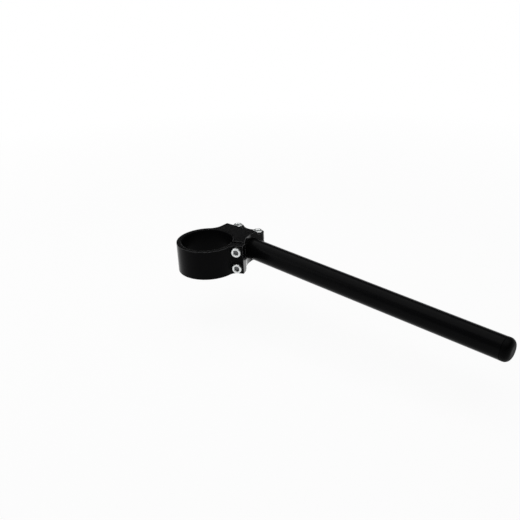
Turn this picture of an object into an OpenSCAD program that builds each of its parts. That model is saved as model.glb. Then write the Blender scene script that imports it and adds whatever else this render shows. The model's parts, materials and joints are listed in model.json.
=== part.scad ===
// Clip-on handlebar: a split clamp for the fork leg and a bar clamp in one machined body,
// with a handlebar tube, its end plug and four socket head pinch bolts.
// The fork axis is Z and its middle is the origin. The bar leaves towards +X.

/* [Fork ring] */
// Diameter of the fork leg that the ring closes on
fork_d = 54; // [48:0.5:56]
// Wall of the ring round the fork leg
ring_wall = 5; // [4:0.5:7]
// Height of the ring along the fork
ring_h = 31; // [29:0.5:40]
// Chamfer round both mouths of the ring
ring_chamfer = 0.6; // [0.3:0.1:1]

/* [Ring slit and ear] */
// Direction of the slit round the fork, from the bar's side
slit_angle = 23.5; // [18:0.5:27]
// Width of the slit
slit_w = 3; // [2:0.5:4]
// Thickness of the ear beside the slit
ear_t = 8; // [7:0.5:11]
// How far the ear stands out past the ring
ear_reach = 10; // [9.5:0.5:14]
// Radius where the back of the ear runs into the ring
ear_fillet = 8; // [5:0.5:12]
// Distance of the fork pinch bolts from the ring's outer face
fork_bolt_out = 3.3; // [3:0.1:4]
// Distance between the two fork pinch bolts, along the fork
fork_bolt_pitch = 18; // [13:0.5:18.5]

/* [Bar clamp] */
// Outer diameter of the handlebar tube
bar_d = 22.2; // [22:0.1:22.4]
// Web of metal left between the fork leg and the bar
bar_web = 1.4; // [1:0.1:4]
// How far the bar droops towards its free end, in degrees
bar_droop = 4.3; // [0:0.1:6]
// Distance from the fork axis to the middle of the bar clamp, along the bar
clamp_mid = 6.9; // [4:0.1:9]
// How far the full height of the body runs past the bar axis
shoulder_reach = 6.8; // [5:0.1:8]
// How far the shoulders slope out to the pinch flange
shoulder_slope = 4.7; // [4:0.1:6]
// Radius where the body runs into the ring on the inner side
web_fillet = 16; // [8:1:20]
// Radius of the hollow flank on the outer side
flank_r = 30; // [28:1:36]

/* [Pinch flange] */
// Height of the flange above the middle of the bar
flange_top = 10; // [9:0.5:12]
// Depth of the flange below the middle of the bar
flange_bottom = 8; // [6:0.5:10]
// Width of the slit between its two jaws
jaw_gap = 2; // [1:0.5:3]
// Distance between the two bar pinch bolts
bar_bolt_pitch = 28.6; // [25:0.1:32]
// Distance from the bar's surface to the bar pinch bolts
bar_bolt_out = 5.7; // [5.3:0.1:8]
// Radius of the round boss at each bolt
boss_r = 6.8; // [6.5:0.1:8]
// How far the scallop between the bosses stays outside the bolts' line
scallop_rise = 1.5; // [1:0.1:4]

/* [Handlebar tube] */
// Length of the tube
tube_len = 322; // [240:1:360]
// Wall of the tube
tube_wall = 3; // [2:0.5:4]
// How far the tube's inner end stays inside the clamp
tube_recess = 1; // [0.5:0.5:3]
// Chamfer at both ends of the tube
tube_chamfer = 0.5; // [0.3:0.1:0.8]

/* [End plug] */
// Length of the plug's head
plug_head = 8; // [6.5:0.5:12]
// Radius of the head's round edge
plug_round = 6; // [3:0.5:6]
// Length of the plug inside the tube
plug_in = 20; // [12:1:30]
// Wall of the plug inside the tube
plug_wall = 2; // [1.5:0.5:3]
// Number of grip ribs on the plug
plug_ribs = 4; // [2:1:6]
// How far the grip ribs stand out of the plug's stem
rib_rise = 0.7; // [0.3:0.1:1.2]

/* [Pinch bolts] */
// Thread diameter of the bolts
bolt_d = 6; // [5:0.5:6]
// Diameter of the bolt head
head_d = 10; // [9:0.5:10]
// Height of the bolt head
head_h = 6; // [5:0.5:7]
// Width of the hexagon socket, across its flats
socket_w = 5; // [4:0.5:5]
// Depth of the hexagon socket
socket_h = 3; // [2:0.5:3.5]
// Length of a bar pinch bolt under its head
bar_bolt_len = 14; // [11:0.5:14]
// Length of a fork pinch bolt under its head
fork_bolt_len = 14; // [13:0.5:16]
// How far the bar pinch bolts' heads stand above the flange
bar_head_proud = 2; // [0:0.5:3]
// How far the fork pinch bolts' heads stand out of the ear
fork_head_proud = 3.5; // [2:0.5:4]

/* [Clearances] */
// Play between the bar and the clamp's bore, on the radius
bar_play = 0.05; // [0.02:0.01:0.15]
// Play of a thread in its tapped hole, on the radius
thread_play = 0.04; // [0.02:0.01:0.1]
// Play of a bolt in its drilled hole, on the radius
hole_play = 0.3; // [0.2:0.05:0.5]
// Play of a bolt head in its counterbore, on the radius
head_play = 0.6; // [0.4:0.1:0.8]
// Play of the plug's ribs in the tube, on the radius
plug_play = 0.05; // [0.02:0.01:0.15]
// Depth of a tapped hole past the end of its bolt
tap_run = 0.5; // [0.3:0.1:1.5]

/* [Hidden] */
$fn = 96;
eps = 0.01;
// Hollow curves bite this much deeper, so that they cross their neighbours and never just touch
bite = 0.05;

black = [0.07, 0.07, 0.075];
soft_black = [0.05, 0.05, 0.05];
zinc = [0.78, 0.79, 0.78];

// Ring
fork_r = fork_d / 2;
ring_r = fork_r + ring_wall;
half_h = ring_h / 2;

// Bar: its axis crosses the middle of the bar clamp at half height
bar_r = bar_d / 2;
bore_r = bar_r + bar_play;
bar_y = fork_r + bar_web + bar_r;

// Bar clamp, from its inner face to its outer face
clamp_half = bar_bolt_pitch / 2 + boss_r;
clamp_in_x = clamp_mid - clamp_half;
clamp_out_x = clamp_mid + clamp_half;
shoulder_y = bar_y + shoulder_reach;
slope_end_y = shoulder_y + shoulder_slope;
bar_bolt_y = bar_y + bar_r + bar_bolt_out;
bar_seat_z = flange_top + bar_head_proud - head_h;

// Scallop: a circle that touches both bosses
half_pitch = bar_bolt_pitch / 2;
scallop_r = (pow(half_pitch, 2) + pow(scallop_rise, 2) - pow(boss_r, 2)) / (2 * (boss_r - scallop_rise));
scallop_y = bar_bolt_y + scallop_rise + scallop_r;

// Ear, in the slit's own frame: X runs out along the slit and Y across it
ear_end = ring_r + ear_reach;
ear_back = slit_w / 2 + ear_t;
fork_bolt_u = ring_r + fork_bolt_out;
fork_seat = ear_back + fork_head_proud - head_h;

// Inner web fillet and ear fillet: circles that touch the ring from outside
web_fillet_x = clamp_in_x - web_fillet;
web_fillet_y = sqrt(pow(ring_r + web_fillet, 2) - pow(web_fillet_x, 2));
ear_fillet_v = ear_back + ear_fillet;
ear_fillet_u = sqrt(pow(ring_r + ear_fillet, 2) - pow(ear_fillet_v, 2));

// Tube, measured along the bar from the middle of the bar clamp
tube_in = clamp_half / cos(bar_droop) - tube_recess;
tube_bore_r = bar_r - tube_wall;

module in_slit_frame() {
    rotate([0, 0, slit_angle]) children();
}

module along_bar() {
    translate([clamp_mid, bar_y, 0]) rotate([0, 90 + bar_droop, 0]) children();
}

module chamfered_disc(r, h, c) {
    translate([0, 0, -h / 2]) cylinder(r1 = r - c, r2 = r, h = c);
    translate([0, 0, c - h / 2]) cylinder(r = r, h = h - 2 * c);
    translate([0, 0, h / 2 - c]) cylinder(r1 = r, r2 = r - c, h = c);
}

module chamfered_bore(r, h, c) {
    cylinder(r = r, h = h + 2, center = true);
    for (side = [0, 180]) rotate([side, 0, 0])
        translate([0, 0, h / 2 - c]) cylinder(r1 = r, r2 = r + c + eps, h = c + eps);
}

// Plan of the body between the ring and the bar
module web_plan() {
    difference() {
        polygon([
            [0, 0],
            [ring_r * cos(slit_angle), ring_r * sin(slit_angle)],
            [ear_end * cos(slit_angle), ear_end * sin(slit_angle)],
            [ear_end, bar_y],
            [clamp_out_x, shoulder_y],
            [clamp_in_x, shoulder_y],
            [clamp_in_x, web_fillet_y],
            [web_fillet_x, web_fillet_y]
        ]);
        translate([web_fillet_x, web_fillet_y]) circle(r = web_fillet + bite);
        translate([clamp_out_x + flank_r, bar_y]) circle(r = flank_r + bite);
        translate([clamp_out_x, bar_y]) square([ear_end, 2 * shoulder_y]);
    }
}

// Plan of the ear, in the slit's own frame
module ear_plan() {
    difference() {
        polygon([
            [fork_r - 1, 0],
            [ear_end, 0],
            [ear_end, -ear_back],
            [ear_fillet_u, -ear_back],
            [ear_fillet_u, -ear_fillet_v],
            [0, 0]
        ]);
        translate([ear_fillet_u, -ear_fillet_v]) circle(r = ear_fillet + bite);
    }
}

// Plan of the pinch flange: two round bosses and the scallop between them
module flange_plan() {
    difference() {
        union() {
            translate([clamp_in_x, bar_y]) square([2 * clamp_half, bar_bolt_y - bar_y]);
            for (side = [-1, 1])
                translate([clamp_mid + side * half_pitch, bar_bolt_y]) circle(r = boss_r);
            polygon([
                [clamp_mid - half_pitch, bar_bolt_y],
                [clamp_mid, scallop_y],
                [clamp_mid + half_pitch, bar_bolt_y]
            ]);
        }
        translate([clamp_mid, scallop_y]) circle(r = scallop_r + bite);
    }
}

// Side view of the body: full height, then shoulders that slope to the flange
module clamp_profile() {
    polygon([
        [-2 * ring_r, -half_h],
        [shoulder_y, -half_h],
        [slope_end_y, -flange_bottom],
        [2 * bar_bolt_y, -flange_bottom],
        [2 * bar_bolt_y, flange_top],
        [slope_end_y, flange_top],
        [shoulder_y, half_h],
        [-2 * ring_r, half_h]
    ]);
}

module body_block() {
    intersection() {
        translate([0, 0, -ring_h]) union() {
            cylinder(r = ring_r, h = 2 * ring_h);
            in_slit_frame() linear_extrude(2 * ring_h) ear_plan();
            linear_extrude(2 * ring_h) web_plan();
            linear_extrude(2 * ring_h) flange_plan();
        }
        translate([-2 * ring_r, 0, 0]) rotate([90, 0, 90]) linear_extrude(4 * ring_r) clamp_profile();
    }
}

module bar_bolt_hole(side) {
    translate([clamp_mid + side * half_pitch, bar_bolt_y, 0]) {
        translate([0, 0, bar_seat_z]) cylinder(r = head_d / 2 + head_play, h = ring_h);
        cylinder(r = bolt_d / 2 + hole_play, h = ring_h);
        translate([0, 0, -ring_h]) cylinder(r = bolt_d / 2 + thread_play, h = ring_h + eps);
    }
}

module fork_bolt_hole(side) {
    tap_end = fork_bolt_len - fork_seat + tap_run;
    in_slit_frame() translate([fork_bolt_u, 0, side * fork_bolt_pitch / 2]) rotate([-90, 0, 0]) {
        translate([0, 0, -fork_seat - ring_r]) cylinder(r = head_d / 2 + head_play, h = ring_r);
        translate([0, 0, -fork_seat - 1]) cylinder(r = bolt_d / 2 + hole_play, h = fork_seat + 1);
        cylinder(r = bolt_d / 2 + thread_play, h = tap_end);
    }
}

// Machined body: fork ring, web, bar clamp and both pinch joints
module clamp_body() {
    color(black) difference() {
        body_block();
        chamfered_bore(fork_r, ring_h, ring_chamfer);
        in_slit_frame() translate([0, -slit_w / 2, -ring_h]) cube([2 * ear_end, slit_w, 2 * ring_h]);
        along_bar() cylinder(r = bore_r, h = 4 * clamp_half, center = true);
        translate([clamp_in_x - 1, bar_y, -jaw_gap / 2]) cube([2 * clamp_half + 2, ring_h + ring_r, jaw_gap]);
        for (side = [-1, 1]) {
            bar_bolt_hole(side);
            fork_bolt_hole(side);
        }
    }
}

// Handlebar tube, chamfered at both ends
module handlebar_tube() {
    color(soft_black) along_bar() translate([0, 0, tube_len / 2 - tube_in]) difference() {
        chamfered_disc(bar_r, tube_len, tube_chamfer);
        chamfered_bore(tube_bore_r, tube_len, tube_chamfer);
    }
}

// Round-edged head of the plug, standing on the tube's end
module plug_cap() {
    rotate_extrude() union() {
        square([bar_r, plug_head - plug_round]);
        square([bar_r - plug_round, plug_head]);
        translate([bar_r - plug_round, plug_head - plug_round]) intersection() {
            circle(r = plug_round);
            square(plug_round);
        }
    }
}

// Push-in plug that closes the free end of the tube
module bar_end_plug() {
    rib_r = tube_bore_r - plug_play;
    stem_r = rib_r - rib_rise;
    rib_pitch = plug_in / (plug_ribs + 1);
    color(soft_black) along_bar() translate([0, 0, tube_len - tube_in]) difference() {
        union() {
            plug_cap();
            translate([0, 0, -plug_in]) cylinder(r = stem_r, h = plug_in + eps);
            for (i = [1:plug_ribs]) translate([0, 0, -(i + 0.5) * rib_pitch])
                cylinder(r1 = stem_r, r2 = rib_r, h = 0.8 * rib_pitch);
        }
        translate([0, 0, -plug_in - 1]) cylinder(r = stem_r - plug_wall, h = plug_in + 1);
    }
}

// Socket head bolt: its seat is at Z = 0 and its shank points down
module socket_bolt(len) {
    head_r = head_d / 2;
    bolt_r = bolt_d / 2;
    edge = 0.5;
    difference() {
        union() {
            cylinder(r = head_r, h = head_h - edge);
            translate([0, 0, head_h - edge]) cylinder(r1 = head_r, r2 = head_r - edge, h = edge);
            translate([0, 0, 1.5 * edge - len]) cylinder(r = bolt_r, h = len - 1.5 * edge + eps);
            translate([0, 0, -len]) cylinder(r1 = bolt_r - 1.5 * edge, r2 = bolt_r, h = 1.5 * edge);
        }
        translate([0, 0, head_h - socket_h]) cylinder(d = socket_w / cos(30), h = socket_h + 1, $fn = 6);
        translate([0, 0, head_h - socket_h - edge]) cylinder(r1 = 0.2, r2 = socket_w / 2 - edge, h = edge + eps);
        translate([0, 0, head_h - edge]) cylinder(r1 = socket_w / 2, r2 = socket_w / 2 + 2 * edge, h = edge + eps);
    }
}

module bar_bolt(side) {
    color(zinc) translate([clamp_mid + side * half_pitch, bar_bolt_y, bar_seat_z]) socket_bolt(bar_bolt_len);
}

module fork_bolt(side) {
    color(zinc) in_slit_frame() translate([fork_bolt_u, -fork_seat, side * fork_bolt_pitch / 2])
        rotate([90, 0, 0]) socket_bolt(fork_bolt_len);
}

clamp_body();
handlebar_tube();
bar_end_plug();
bar_bolt(-1);  // bar_bolt_inner
bar_bolt(1);  // bar_bolt_outer
fork_bolt(1);  // fork_bolt_upper
fork_bolt(-1);  // fork_bolt_lower
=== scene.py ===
import bpy, bmesh, json
from math import cos, sin, radians, pi
from mathutils import Matrix, Vector

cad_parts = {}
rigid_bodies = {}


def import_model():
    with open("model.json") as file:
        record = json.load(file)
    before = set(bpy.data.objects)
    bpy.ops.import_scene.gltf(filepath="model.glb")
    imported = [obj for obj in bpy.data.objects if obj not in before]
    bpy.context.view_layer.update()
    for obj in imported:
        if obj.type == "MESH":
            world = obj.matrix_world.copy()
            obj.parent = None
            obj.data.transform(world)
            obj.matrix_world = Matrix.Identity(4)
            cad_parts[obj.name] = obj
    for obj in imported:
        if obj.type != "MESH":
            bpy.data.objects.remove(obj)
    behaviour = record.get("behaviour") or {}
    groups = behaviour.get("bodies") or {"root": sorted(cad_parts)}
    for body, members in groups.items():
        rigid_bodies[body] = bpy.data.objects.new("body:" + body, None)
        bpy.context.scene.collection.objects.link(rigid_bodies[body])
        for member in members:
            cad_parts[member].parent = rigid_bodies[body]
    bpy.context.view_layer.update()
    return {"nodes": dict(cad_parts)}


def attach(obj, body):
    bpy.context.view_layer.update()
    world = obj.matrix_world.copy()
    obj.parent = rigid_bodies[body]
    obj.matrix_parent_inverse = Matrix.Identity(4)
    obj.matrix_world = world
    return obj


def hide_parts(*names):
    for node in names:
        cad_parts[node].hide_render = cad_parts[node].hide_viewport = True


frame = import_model()
mm = 0.001
print("frame loaded:", len(frame["nodes"]), "nodes")


# small helpers

def alone(piece):
    # nothing else stays selected, so the operators act on this piece only
    bpy.ops.object.select_all(action="DESELECT")
    piece.select_set(True)
    bpy.context.view_layer.objects.active = piece


def started(name):
    piece = bpy.context.object
    piece.name = name
    piece.data.name = name
    return piece


def applyModifier(piece, name, kind, **settings):
    alone(piece)
    modifier = piece.modifiers.new(name, kind)
    for key, value in settings.items():
        setattr(modifier, key, value)
    bpy.ops.object.modifier_apply(modifier=name)


def selectVerts(piece, wanted):
    # edit mode, with only the vertices selected whose place passes the test
    bpy.ops.object.mode_set(mode="EDIT")
    bpy.ops.mesh.select_mode(type="VERT")
    bpy.ops.mesh.select_all(action="DESELECT")
    mesh = bmesh.from_edit_mesh(piece.data)
    for vert in mesh.verts:
        vert.select = wanted(vert.co)
    mesh.select_flush(True)
    bmesh.update_edit_mesh(piece.data)


def placed(piece, place, turn=(0, 0, 0)):
    piece.location = place
    piece.rotation_euler = turn
    alone(piece)
    bpy.ops.object.transform_apply(location=True, rotation=True, scale=True)
    return piece


class Value:
    # a socket in a material, so that shader maths reads as maths
    def __init__(self, shader, socket):
        self.shader = shader
        self.socket = socket

    def maths(self, operation, first, second):
        return self.shader.node("ShaderNodeMath", {"operation": operation}, {0: first, 1: second})

    def __add__(self, other):
        return self.maths("ADD", self, other)

    def __radd__(self, other):
        return self.maths("ADD", other, self)

    def __sub__(self, other):
        return self.maths("SUBTRACT", self, other)

    def __rsub__(self, other):
        return self.maths("SUBTRACT", other, self)

    def __mul__(self, other):
        return self.maths("MULTIPLY", self, other)

    def __rmul__(self, other):
        return self.maths("MULTIPLY", other, self)

    def __pow__(self, other):
        return self.maths("POWER", self, other)


class Shader:
    def __init__(self, name, owner=None):
        self.owner = owner or bpy.data.materials.new(name)
        self.owner.use_nodes = True
        self.nodes = self.owner.node_tree.nodes
        self.links = self.owner.node_tree.links
        self.nodes.clear()

    def node(self, kind, settings=None, inputs=None, output=0):
        made = self.nodes.new(kind)
        for key, value in (settings or {}).items():
            if key == "stops":
                ramp = made.color_ramp
                while len(ramp.elements) < len(value):
                    ramp.elements.new(1)
                for element, (place, grey) in zip(ramp.elements, value):
                    element.position = place
                    element.color = (grey, grey, grey, 1)
            else:
                setattr(made, key, value)
        for key, value in (inputs or {}).items():
            if isinstance(value, Value):
                self.links.new(value.socket, made.inputs[key])
            else:
                made.inputs[key].default_value = value
        return Value(self, made.outputs[output] if made.outputs else None)

    def place(self):
        return self.node("ShaderNodeTexCoord", output="Object")

    def noise(self, place, scale, detail=4, roughness=0.55):
        return self.node("ShaderNodeTexNoise", {}, {"Vector": place, "Scale": scale, "Detail": detail,
                                                    "Roughness": roughness})

    def stretched(self, place, turn, scale):
        return self.node("ShaderNodeMapping", {"vector_type": "TEXTURE"},
                         {"Vector": place, "Rotation": turn, "Scale": scale})

    def ramp(self, value, stops):
        return self.node("ShaderNodeValToRGB", {"stops": stops}, {"Fac": value})

    def mix(self, amount, first, second):
        made = self.nodes.new("ShaderNodeMix")
        made.data_type = "RGBA"
        for socket, value in zip((made.inputs[0], made.inputs[6], made.inputs[7]), (amount, first, second)):
            if isinstance(value, Value):
                self.links.new(value.socket, socket)
            else:
                socket.default_value = value
        return Value(self, made.outputs[2])

    def trueNormal(self):
        return self.node("ShaderNodeNewGeometry", output="True Normal")

    def along(self, vector, direction):
        # how far the vector points, or reaches, along the direction
        dot = {"operation": "DOT_PRODUCT"}
        return self.node("ShaderNodeVectorMath", dot, {0: vector, 1: direction}, "Value")

    def length(self, vector):
        return self.node("ShaderNodeVectorMath", {"operation": "LENGTH"}, {0: vector}, "Value")

    def bump(self, height, depth, strength=1.0, normal=None):
        inputs = {"Height": height, "Distance": depth, "Strength": strength}
        if normal:
            inputs["Normal"] = normal
        return self.node("ShaderNodeBump", {}, inputs)

    def surface(self, inputs):
        shader = self.node("ShaderNodeBsdfPrincipled", {}, inputs)
        self.node("ShaderNodeOutputMaterial", {}, {"Surface": shader})
        return self.owner


# materials

def edgeOf(shader, radius):
    # 1 on sharp edges and 0 on flats, from how far a rounded normal leans off the true one
    rounded = shader.node("ShaderNodeBevel", {"samples": 8}, {"Radius": radius})
    lean = 1 - shader.along(rounded, shader.trueNormal())
    return shader.ramp(lean, [(0.008, 0), (0.06, 1)]), rounded


def endFace(shader, place, direction, reach):
    # 1 on flats that look along the direction and lie past the reach, and 0 elsewhere
    turned = shader.along(shader.trueNormal(), direction)
    out = shader.along(place, direction)
    return shader.ramp(turned, [(0.93, 0), (0.98, 1)]) * shader.ramp(out, [(reach - 1 * mm, 0), (reach, 1)])


def facing(shader):
    # 0 where the surface is looked at squarely, and 1 where it turns away
    return shader.node("ShaderNodeLayerWeight", {}, {"Blend": 0.5}, "Facing")


bodyFinish = {
    "black": (0.0009, 0.0009, 0.0011, 1),
    "lighter": (0.003, 0.003, 0.0034, 1),
    # painted highlight: the light grey laid along the outer sharp edges
    "paintedEdgeHighlight": (0.12, 0.121, 0.125, 1),
    "gloss": 0.036,
    "sheen": 4.8,
    "edge": 0.5 * mm,
    "grain": 2600,
    "clouds": 55,
    "passes": 210,
    "rough": 0.22,
    "boreEdge": 29 * mm,
    "rimFrom": 30.5 * mm,
    "earWay": (cos(radians(23.5)), sin(radians(23.5)), 0),
    "earFrom": 38 * mm,
    "faced": 0.75,
}


def anodisedBody():
    shader = Shader("anodised_body")
    place = shader.place()
    clouds = shader.noise(place, bodyFinish["clouds"], 5)
    grain = shader.noise(place, bodyFinish["grain"], 3, 0.7)
    # the cutter's passes lie level, round the ring and along the flanks
    passes = shader.noise(shader.stretched(place, (0, 0, 0), (1, 1, 0.035)), bodyFinish["passes"], 3)
    edge, rounded = edgeOf(shader, bodyFinish["edge"])
    # the mouths of the fork bore stay black, and the sharp edges further out get a painted highlight
    level = shader.node("ShaderNodeVectorMath", {"operation": "MULTIPLY"}, {0: place, 1: (1, 1, 0)})
    outer = shader.ramp(shader.length(level), [(bodyFinish["boreEdge"], 0), (bodyFinish["rimFrom"], 1)])
    # the ear's end is faced off last and comes out the smoothest
    faced = endFace(shader, place, bodyFinish["earWay"], bodyFinish["earFrom"]) * bodyFinish["faced"]
    colour = shader.mix(clouds * 0.8, bodyFinish["black"], bodyFinish["lighter"])
    # painted highlight: light grey mixed into the colour along the sharp edges away from the fork bore
    colour = shader.mix(edge * outer * (0.6 + 0.25 * clouds), colour, bodyFinish["paintedEdgeHighlight"])
    return shader.surface({
        "Base Color": colour,
        "Roughness": bodyFinish["rough"] + 0.12 * clouds + 0.06 * passes,
        "Specular IOR Level": bodyFinish["gloss"],
        "Coat Weight": facing(shader) ** bodyFinish["sheen"] + faced,
        "Coat Roughness": 0.12,
        "Normal": shader.bump(grain * 0.6 + passes * 0.5, 0.018 * mm, 0.55, rounded),
    })


tubeFinish = {
    "black": (0.0022, 0.0022, 0.0025, 1),
    "lighter": (0.0042, 0.0042, 0.0046, 1),
    "gloss": 0.03,
    "sheen": 5,
    "droop": radians(4.3),
    "drawn": 900,
    "grain": 2400,
    "clouds": 40,
    "rough": 0.2,
}


def anodisedTube():
    shader = Shader("anodised_tube")
    place = shader.place()
    # drawing marks run along the bar, so the pattern is turned to the bar and pulled out
    along = shader.stretched(place, (0, tubeFinish["droop"], 0), (60, 1, 1))
    drawn = shader.noise(along, tubeFinish["drawn"], 3, 0.6)
    grain = shader.noise(place, tubeFinish["grain"], 2)
    clouds = shader.noise(place, tubeFinish["clouds"], 4)
    return shader.surface({
        "Base Color": shader.mix(clouds * 0.7, tubeFinish["black"], tubeFinish["lighter"]),
        "Roughness": tubeFinish["rough"] + 0.1 * clouds + 0.05 * drawn,
        "Specular IOR Level": tubeFinish["gloss"],
        "Coat Weight": facing(shader) ** tubeFinish["sheen"],
        "Coat Roughness": 0.15,
        "Normal": shader.bump(drawn + 0.6 * grain, 0.01 * mm, 0.5),
    })


plugFinish = {
    "black": (0.0008, 0.0008, 0.0009, 1),
    "lighter": (0.0022, 0.0022, 0.0024, 1),
    "gloss": 0.03,
    "grain": 1500,
    "clouds": 120,
    "rough": 0.38,
}


def mouldedPlug():
    shader = Shader("moulded_plug")
    place = shader.place()
    grain = shader.noise(place, plugFinish["grain"], 4, 0.65)
    clouds = shader.noise(place, plugFinish["clouds"], 3)
    return shader.surface({
        "Base Color": shader.mix(clouds, plugFinish["black"], plugFinish["lighter"]),
        "Roughness": plugFinish["rough"] + 0.14 * grain,
        "Specular IOR Level": plugFinish["gloss"],
        "Normal": shader.bump(grain, 0.03 * mm, 0.6),
    })


boltFinish = {
    "zinc": (0.83, 0.85, 0.84, 1),
    "dull": (0.64, 0.66, 0.66, 1),
    # painted shade for the hexagon socket: a dark grey and a darker one
    "socket": (0.21, 0.215, 0.22, 1),
    "deeperShade": (0.09, 0.09, 0.095, 1),
    "spots": 900,
    "clouds": 260,
}


def zincBolt():
    shader = Shader("zinc_bolt")
    place = shader.place()
    spots = shader.noise(place, boltFinish["spots"], 4, 0.7)
    clouds = shader.noise(place, boltFinish["clouds"], 3)
    dulled = shader.ramp(clouds, [(0.4, 0), (0.7, 1)])
    return shader.surface({
        "Base Color": shader.mix(dulled, boltFinish["zinc"], boltFinish["dull"]),
        "Metallic": 1.0,
        "Roughness": 0.24 + 0.16 * spots,
        "Normal": shader.bump(spots, 0.02 * mm, 0.4),
    })


def paintedSocketShade():
    # painted shade: the hexagon socket is coloured dark grey, mottled darker in spots, to stand for the
    # shade down in the recess
    shader = Shader("bolt_socket_shade")
    mottle = shader.noise(shader.place(), boltFinish["spots"], 4, 0.7)
    return shader.surface({
        "Base Color": shader.mix(mottle, boltFinish["socket"], boltFinish["deeperShade"]),
        "Metallic": 1.0,
        "Roughness": 0.35 + 0.2 * mottle,
        "Normal": shader.bump(mottle, 0.03 * mm, 0.5),
    })


def dress(node, material):
    slots = frame["nodes"][node].data.materials
    if len(slots) == 0:
        slots.append(material)
    for i in range(len(slots)):
        slots[i] = material


body = anodisedBody()
tube = anodisedTube()
plug = mouldedPlug()
zinc = zincBolt()
socket = paintedSocketShade()
dress("clamp_body", body)
dress("handlebar_tube", tube)
dress("bar_end_plug", plug)
print("materials made")


# the clamp body, with its sharp edges broken

edges = {
    "weld": 0.004 * mm,
    "flat": 0.6,
    "sharp": 32,
    "width": 0.45 * mm,
    "steps": 2,
    "smooth": 24,
}


def brokenEdges():
    alone(frame["nodes"]["clamp_body"])
    bpy.ops.object.duplicate(linked=False)
    piece = started("clamp_body_machined")
    bpy.ops.object.parent_clear(type="CLEAR_KEEP_TRANSFORM")
    bpy.ops.object.mode_set(mode="EDIT")
    bpy.ops.mesh.select_all(action="SELECT")
    bpy.ops.mesh.remove_doubles(threshold=edges["weld"])
    bpy.ops.mesh.customdata_custom_splitnormals_clear()
    bpy.ops.mesh.dissolve_limited(angle_limit=radians(edges["flat"]))
    bpy.ops.mesh.normals_make_consistent(inside=False)
    bpy.ops.object.mode_set(mode="OBJECT")
    applyModifier(piece, "broken edges", "BEVEL", width=edges["width"], segments=edges["steps"],
                  limit_method="ANGLE", angle_limit=radians(edges["sharp"]), use_clamp_overlap=False,
                  miter_outer="MITER_ARC", harden_normals=False)
    alone(piece)
    bpy.ops.object.shade_smooth_by_angle(angle=radians(edges["smooth"]))
    # the flats keep their own normals, and only the broken edges blend
    applyModifier(piece, "flat flats", "WEIGHTED_NORMAL", weight=100, keep_sharp=True)
    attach(piece, "root")
    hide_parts("clamp_body")
    return piece


brokenEdges()


# socket head bolts: knurled head, hexagon socket, rolled thread

bolt = {
    "sides": 72,
    "headR": 5.0 * mm,
    "headH": 6.0 * mm,
    "topChamfer": 0.5 * mm,
    "underChamfer": 0.25 * mm,
    "knurlDepth": 0.16 * mm,
    "knurlEdge": 0.7 * mm,
    "socketW": 5.0 * mm,
    "socketH": 3.0 * mm,
    "socketLead": 0.35 * mm,
    "darkBelow": 4.2 * mm,
    "softEdge": 0.05 * mm,
    "sharp": 40,
    "smooth": 28,
    "sliver": 0.004 * mm,
    "length": 14.0 * mm,
    "threadR": 3.0 * mm,
    "threadDepth": 0.45 * mm,
    "pitch": 1.0 * mm,
    "plainUnderHead": 1.5 * mm,
}


def boltProfile():
    # height and radius of each ring, from the tip up to the top of the head
    root = bolt["threadR"] - bolt["threadDepth"]
    rings = [(-bolt["length"], root)]
    height = -bolt["length"] + bolt["pitch"] / 2
    while height < -bolt["plainUnderHead"] - bolt["pitch"] / 2:
        rings.append((height, bolt["threadR"]))
        rings.append((height + bolt["pitch"] * 0.12, bolt["threadR"]))
        rings.append((height + bolt["pitch"] * 0.5, root))
        rings.append((height + bolt["pitch"] * 0.62, root))
        height += bolt["pitch"]
    rings += [(-bolt["plainUnderHead"], bolt["threadR"]), (0, bolt["threadR"]),
              (0, bolt["headR"] - bolt["underChamfer"]), (bolt["underChamfer"], bolt["headR"]),
              (bolt["knurlEdge"], bolt["headR"]),
              (bolt["headH"] - bolt["topChamfer"] - bolt["knurlEdge"], bolt["headR"]),
              (bolt["headH"] - bolt["topChamfer"], bolt["headR"]),
              (bolt["headH"], bolt["headR"] - bolt["topChamfer"])]
    return rings


def makeBolt():
    rings = boltProfile()
    bpy.ops.object.select_all(action="DESELECT")
    bpy.ops.mesh.primitive_circle_add(vertices=bolt["sides"], radius=rings[0][1], fill_type="NGON",
                                      location=(0, 0, rings[0][0]))
    piece = started("socket_bolt")
    bpy.ops.object.transform_apply(location=True)
    bpy.ops.object.mode_set(mode="EDIT")
    bpy.ops.mesh.select_all(action="SELECT")
    for (lastZ, lastR), (z, r) in zip(rings, rings[1:]):
        bpy.ops.mesh.extrude_region_move(TRANSFORM_OT_translate={"value": (0, 0, z - lastZ)})
        if r != lastR:
            bpy.ops.transform.resize(value=(r / lastR, r / lastR, 1), center_override=(0, 0, z))
    # the knurl: every second line of the head's side goes in
    lowest = bolt["knurlEdge"] - 0.01 * mm
    highest = bolt["headH"] - bolt["topChamfer"] - bolt["knurlEdge"] + 0.01 * mm
    step = 2 * pi / bolt["sides"]

    def grooved(co):
        side = round(Vector((co.x, co.y)).angle_signed(Vector((0, 1)), 0) / step)
        return lowest < co.z < highest and co.xy.length > bolt["headR"] * 0.9 and side % 2 == 0

    selectVerts(piece, grooved)
    narrow = 1 - bolt["knurlDepth"] / bolt["headR"]
    bpy.ops.transform.resize(value=(narrow, narrow, 1), center_override=(0, 0, 0))
    bpy.ops.mesh.select_all(action="SELECT")
    bpy.ops.mesh.normals_make_consistent(inside=False)
    bpy.ops.object.mode_set(mode="OBJECT")
    cutSocket(piece)
    mergeSlivers(piece)
    applyModifier(piece, "soft edges", "BEVEL", width=bolt["softEdge"], segments=2, limit_method="ANGLE",
                  angle_limit=radians(bolt["sharp"]), use_clamp_overlap=False, harden_normals=False)
    mergeSlivers(piece)
    bpy.ops.object.shade_smooth_by_angle(angle=radians(bolt["smooth"]))
    return piece


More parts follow.
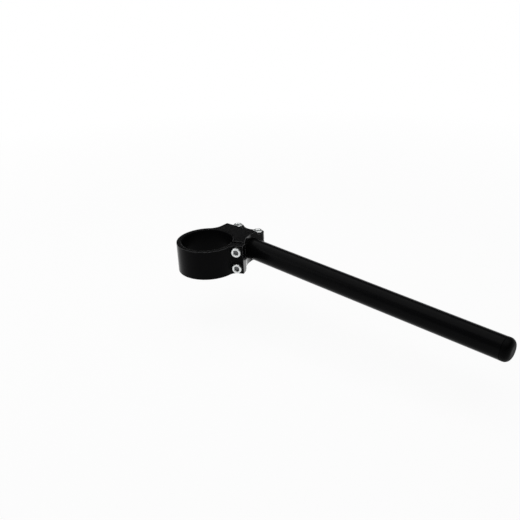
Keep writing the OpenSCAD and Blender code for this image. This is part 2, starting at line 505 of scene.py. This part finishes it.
def mergeSlivers(piece):
    # the cuts and the bevel leave faces of no size, which are closed up here
    alone(piece)
    bpy.ops.object.mode_set(mode="EDIT")
    bpy.ops.mesh.select_all(action="SELECT")
    bpy.ops.mesh.remove_doubles(threshold=bolt["sliver"])
    bpy.ops.mesh.dissolve_degenerate(threshold=bolt["sliver"])
    bpy.ops.mesh.normals_make_consistent(inside=False)
    bpy.ops.object.mode_set(mode="OBJECT")


def cutSocket(piece):
    corner = bolt["socketW"] / 2 / cos(pi / 6)
    top = bolt["headH"]
    bottom = bolt["headH"] - bolt["socketH"]
    drilled = corner * 0.86
    # the hexagon, its drilled point and its lead-in chamfer, each cut out in turn
    bpy.ops.mesh.primitive_cylinder_add(vertices=6, radius=corner, depth=bolt["socketH"] + 1 * mm,
                                        location=(0, 0, bottom + (bolt["socketH"] + 1 * mm) / 2))
    hexagon = started("hexagon_cutter")
    bpy.ops.mesh.primitive_cone_add(vertices=48, radius1=0.1 * mm, radius2=drilled, depth=0.8 * mm,
                                    location=(0, 0, bottom - 0.3 * mm))
    point = started("point_cutter")
    wide = corner + bolt["socketLead"]
    deep = wide - drilled
    bpy.ops.mesh.primitive_cone_add(vertices=48, radius1=drilled, radius2=wide, depth=deep,
                                    location=(0, 0, top + 0.08 * mm - deep / 2))
    lead = started("lead_cutter")
    for cutter in (hexagon, point, lead):
        applyModifier(piece, "cut", "BOOLEAN", object=cutter, operation="DIFFERENCE", solver="EXACT")
        bpy.data.objects.remove(cutter, do_unlink=True)


# where the bolts sit, as in the clamp itself
barBolts = {"middle": 6.9 * mm, "pitch": 28.6 * mm, "y": 56.3 * mm, "seat": 6.0 * mm}
forkBolts = {"angle": radians(23.5), "out": 35.3 * mm, "seat": 7.0 * mm, "pitch": 18.0 * mm}


def copyOf(piece, name):
    alone(piece)
    bpy.ops.object.duplicate(linked=False)
    return started(name)


def setBolts():
    pattern = makeBolt()
    pattern.data.materials.clear()
    pattern.data.materials.append(zinc)
    pattern.data.materials.append(socket)
    inner = bolt["socketW"] / 2 / cos(pi / 6) + 0.02 * mm
    # painted shade: the socket's floor, its drilled point and its walls below darkBelow take the dark socket
    # material
    for face in pattern.data.polygons:
        reach = max(pattern.data.vertices[i].co.xy.length for i in face.vertices)
        sunk = reach < inner and face.center.z > 1 * mm
        face.material_index = 1 if sunk and (face.normal.z > 0.5 or face.center.z < bolt["darkBelow"]) else 0
    out = Vector((cos(forkBolts["angle"]), sin(forkBolts["angle"]), 0))
    back = Vector((sin(forkBolts["angle"]), -cos(forkBolts["angle"]), 0))
    seats = {}
    for side, name in ((-1, "bar_bolt_inner"), (1, "bar_bolt_outer")):
        place = (barBolts["middle"] + side * barBolts["pitch"] / 2, barBolts["y"], barBolts["seat"])
        seats[name] = (place, (0, 0, radians(11 + 17 * side)))
    for side, name in ((1, "fork_bolt_upper"), (-1, "fork_bolt_lower")):
        height = Vector((0, 0, side * forkBolts["pitch"] / 2))
        place = out * forkBolts["out"] + back * forkBolts["seat"] + height
        seats[name] = (place, (pi / 2, 0, forkBolts["angle"]))
    for name, (place, turn) in seats.items():
        piece = placed(copyOf(pattern, name + "_detailed"), place, turn)
        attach(piece, "root")
        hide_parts(name)
    bpy.data.objects.remove(pattern, do_unlink=True)


setBolts()


# floor, light and camera

studio = {
    "floorZ": -0.075,
    "floorSize": 6.0,
    "floorWhite": 0.86,
    "glow": 0.92,
    "shadowTo": 0.4,
    "whiteFrom": 0.95,
    "world": 0.9,
    "backdropTop": 0.1,
    "ceilingFrom": 0.26,
    "ceiling": 0.045,
}


def paleFloor():
    bpy.ops.object.select_all(action="DESELECT")
    bpy.ops.mesh.primitive_plane_add(size=studio["floorSize"], location=(0, 0, studio["floorZ"]))
    floor = started("floor")
    shader = Shader("pale_floor")
    white = (studio["floorWhite"],) * 3 + (1,)
    diffuse = shader.node("ShaderNodeBsdfDiffuse", {}, {"Color": white})
    glow = shader.node("ShaderNodeEmission", {}, {"Color": (1, 1, 1, 1), "Strength": 1.0})
    camera = shader.node("ShaderNodeLightPath", output="Is Camera Ray")
    glossy = shader.node("ShaderNodeLightPath", output="Is Glossy Ray")
    through = shader.node("ShaderNodeLightPath", output="Is Transmission Ray")
    # the shadow stays near the object, and the floor's far edge melts into the backdrop
    away = shader.length(shader.place())
    glowing = shader.ramp(away, [(studio["shadowTo"], studio["glow"]), (studio["whiteFrom"], 1)])
    seen = (camera + glossy + through) * glowing
    mixed = shader.node("ShaderNodeMixShader", {}, {0: seen, 1: diffuse, 2: glow})
    shader.node("ShaderNodeOutputMaterial", {}, {"Surface": mixed})
    floor.data.materials.append(shader.owner)


def whiteWorld():
    world = bpy.data.worlds.new("white_room")
    bpy.context.scene.world = world
    shader = Shader("white_room", world)
    # white backdrop all round at the floor's height, and a dimmer ceiling above it
    direction = shader.node("ShaderNodeTexCoord", output="Generated")
    height = shader.node("ShaderNodeSeparateXYZ", {}, {"Vector": direction}, "Z")
    room = shader.ramp(height, [(studio["backdropTop"], studio["world"]),
                                (studio["ceilingFrom"], studio["ceiling"])])
    lit = shader.node("ShaderNodeBackground", {}, {"Color": room})
    seen = shader.node("ShaderNodeBackground", {}, {"Color": (1, 1, 1, 1)})
    camera = shader.node("ShaderNodeLightPath", output="Is Camera Ray")
    mixed = shader.node("ShaderNodeMixShader", {}, {0: camera, 1: lit, 2: seen})
    shader.node("ShaderNodeOutputWorld", {}, {"Surface": mixed})


lamps = {
    "top_box": {"place": (0.1, 0.15, 1.1), "target": (0.12, 0.02, 0), "size": (1.8, 1.5), "power": 14},
    "left_box": {"place": (-0.8, -0.6, 0.5), "target": (0.05, 0, 0), "size": (0.9, 0.9), "power": 5},
}


def softLamp(name, place, target, size, power):
    lamp = bpy.data.lights.new(name, "AREA")
    lamp.shape = "RECTANGLE"
    lamp.size, lamp.size_y = size
    lamp.energy = power
    holder = bpy.data.objects.new(name, lamp)
    bpy.context.scene.collection.objects.link(holder)
    holder.location = place
    holder.rotation_euler = (Vector(target) - Vector(place)).to_track_quat("-Z", "Y").to_euler()


view = {
    "place": (0.4949, -0.4801, 0.3109),
    "right": (0.76293, 0.64507, -0.04262),
    "down": (0.24437, -0.3488, -0.90478),
    "forward": (-0.59852, 0.67987, -0.42374),
    "focal": 716.8,
    "picture": 520,
}


def makeCamera():
    camera = bpy.data.cameras.new("camera")
    camera.sensor_width = 36
    camera.lens = camera.sensor_width * view["focal"] / view["picture"]
    camera.clip_start = 0.01
    holder = bpy.data.objects.new("camera", camera)
    bpy.context.scene.collection.objects.link(holder)
    axes = Matrix((view["right"], [-a for a in view["down"]], [-a for a in view["forward"]])).transposed()
    holder.matrix_world = Matrix.Translation(view["place"]) @ axes.to_4x4()
    bpy.context.scene.camera = holder


paleFloor()
whiteWorld()
for name, lamp in lamps.items():
    softLamp(name, **lamp)
makeCamera()
bpy.context.scene.view_settings.view_transform = "Standard"
print("floor, lights and camera set")
